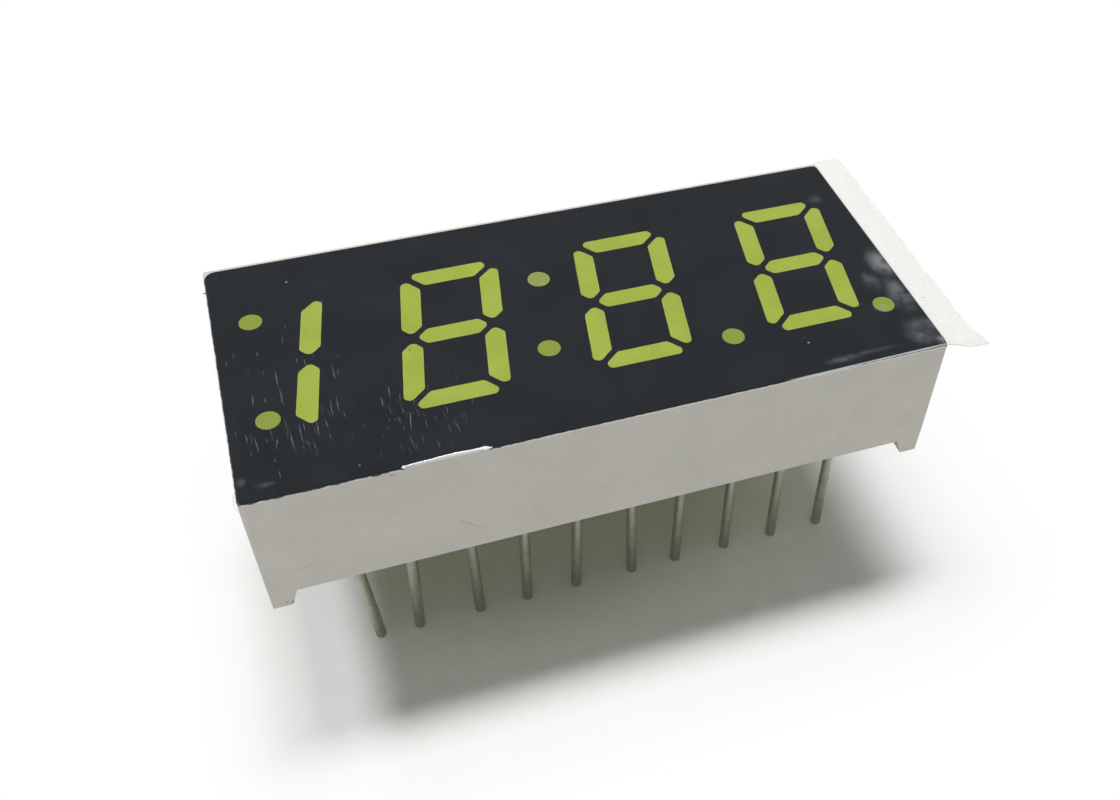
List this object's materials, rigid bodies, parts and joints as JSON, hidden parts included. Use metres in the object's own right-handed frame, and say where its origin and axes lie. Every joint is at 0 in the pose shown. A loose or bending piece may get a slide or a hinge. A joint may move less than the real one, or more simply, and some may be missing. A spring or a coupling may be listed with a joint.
{
  "type": "seven segment display module",
  "caption": "Multi-digit seven segment clock display: moulded housing, tinted resin windows in a black face, clear film, and two rows of round pins.",
  "frame": {"origin": "middle of the pin field, on the plane of the corner feet, where a host board's face lies", "axes": "+X along the row of digits, +Y towards the digits' tops, +Z out of the face"},
  "size_m": [0.0316, 0.0144, 0.0137],
  "materials": {
    "housing_plastic": "moulded, fine grain",
    "black_ink": "printed black, semi matt",
    "window_resin": "cast, tinted lime yellow",
    "board": "glass fibre laminate",
    "chip": "bare light chip",
    "gold_wire": "drawn wire",
    "solder": "tin solder",
    "back_resin": "cast, cloudy",
    "tinned_pin": "dull tinned",
    "clear_film": "clear film, scuffed"
  },
  "bodies": {
    "root": {"housing": "housing_plastic", "face_mask": "black_ink", "segment_1b": "window_resin", "segment_1c": "window_resin", "segment_2a": "window_resin", "segment_2b": "window_resin", "segment_2c": "window_resin", "segment_2d": "window_resin", "segment_2e": "window_resin", "segment_2f": "window_resin", "segment_2g": "window_resin", "segment_3a": "window_resin", "segment_3b": "window_resin", "segment_3c": "window_resin", "segment_3d": "window_resin", "segment_3e": "window_resin", "segment_3f": "window_resin", "segment_3g": "window_resin", "segment_4a": "window_resin", "segment_4b": "window_resin", "segment_4c": "window_resin", "segment_4d": "window_resin", "segment_4e": "window_resin", "segment_4f": "window_resin", "segment_4g": "window_resin", "end_dot_upper": "window_resin", "end_dot_lower": "window_resin", "colon_upper": "window_resin", "colon_lower": "window_resin", "point_inner": "window_resin", "point_last": "window_resin", "circuit_board": "board", "led_chips": "chip", "bond_wires": "gold_wire", "solder_joints": "solder", "back_resin": "back_resin", "pin_01": "tinned_pin", "pin_02": "tinned_pin", "pin_03": "tinned_pin", "pin_04": "tinned_pin", "pin_05": "tinned_pin", "pin_06": "tinned_pin", "pin_07": "tinned_pin", "pin_08": "tinned_pin", "pin_09": "tinned_pin", "pin_10": "tinned_pin", "pin_11": "tinned_pin", "pin_12": "tinned_pin", "pin_13": "tinned_pin", "pin_14": "tinned_pin", "pin_15": "tinned_pin", "pin_16": "tinned_pin", "pin_17": "tinned_pin", "pin_18": "tinned_pin", "pin_19": "tinned_pin", "pin_20": "tinned_pin", "protective_film": "clear_film"}
  },
  "joints": []
}
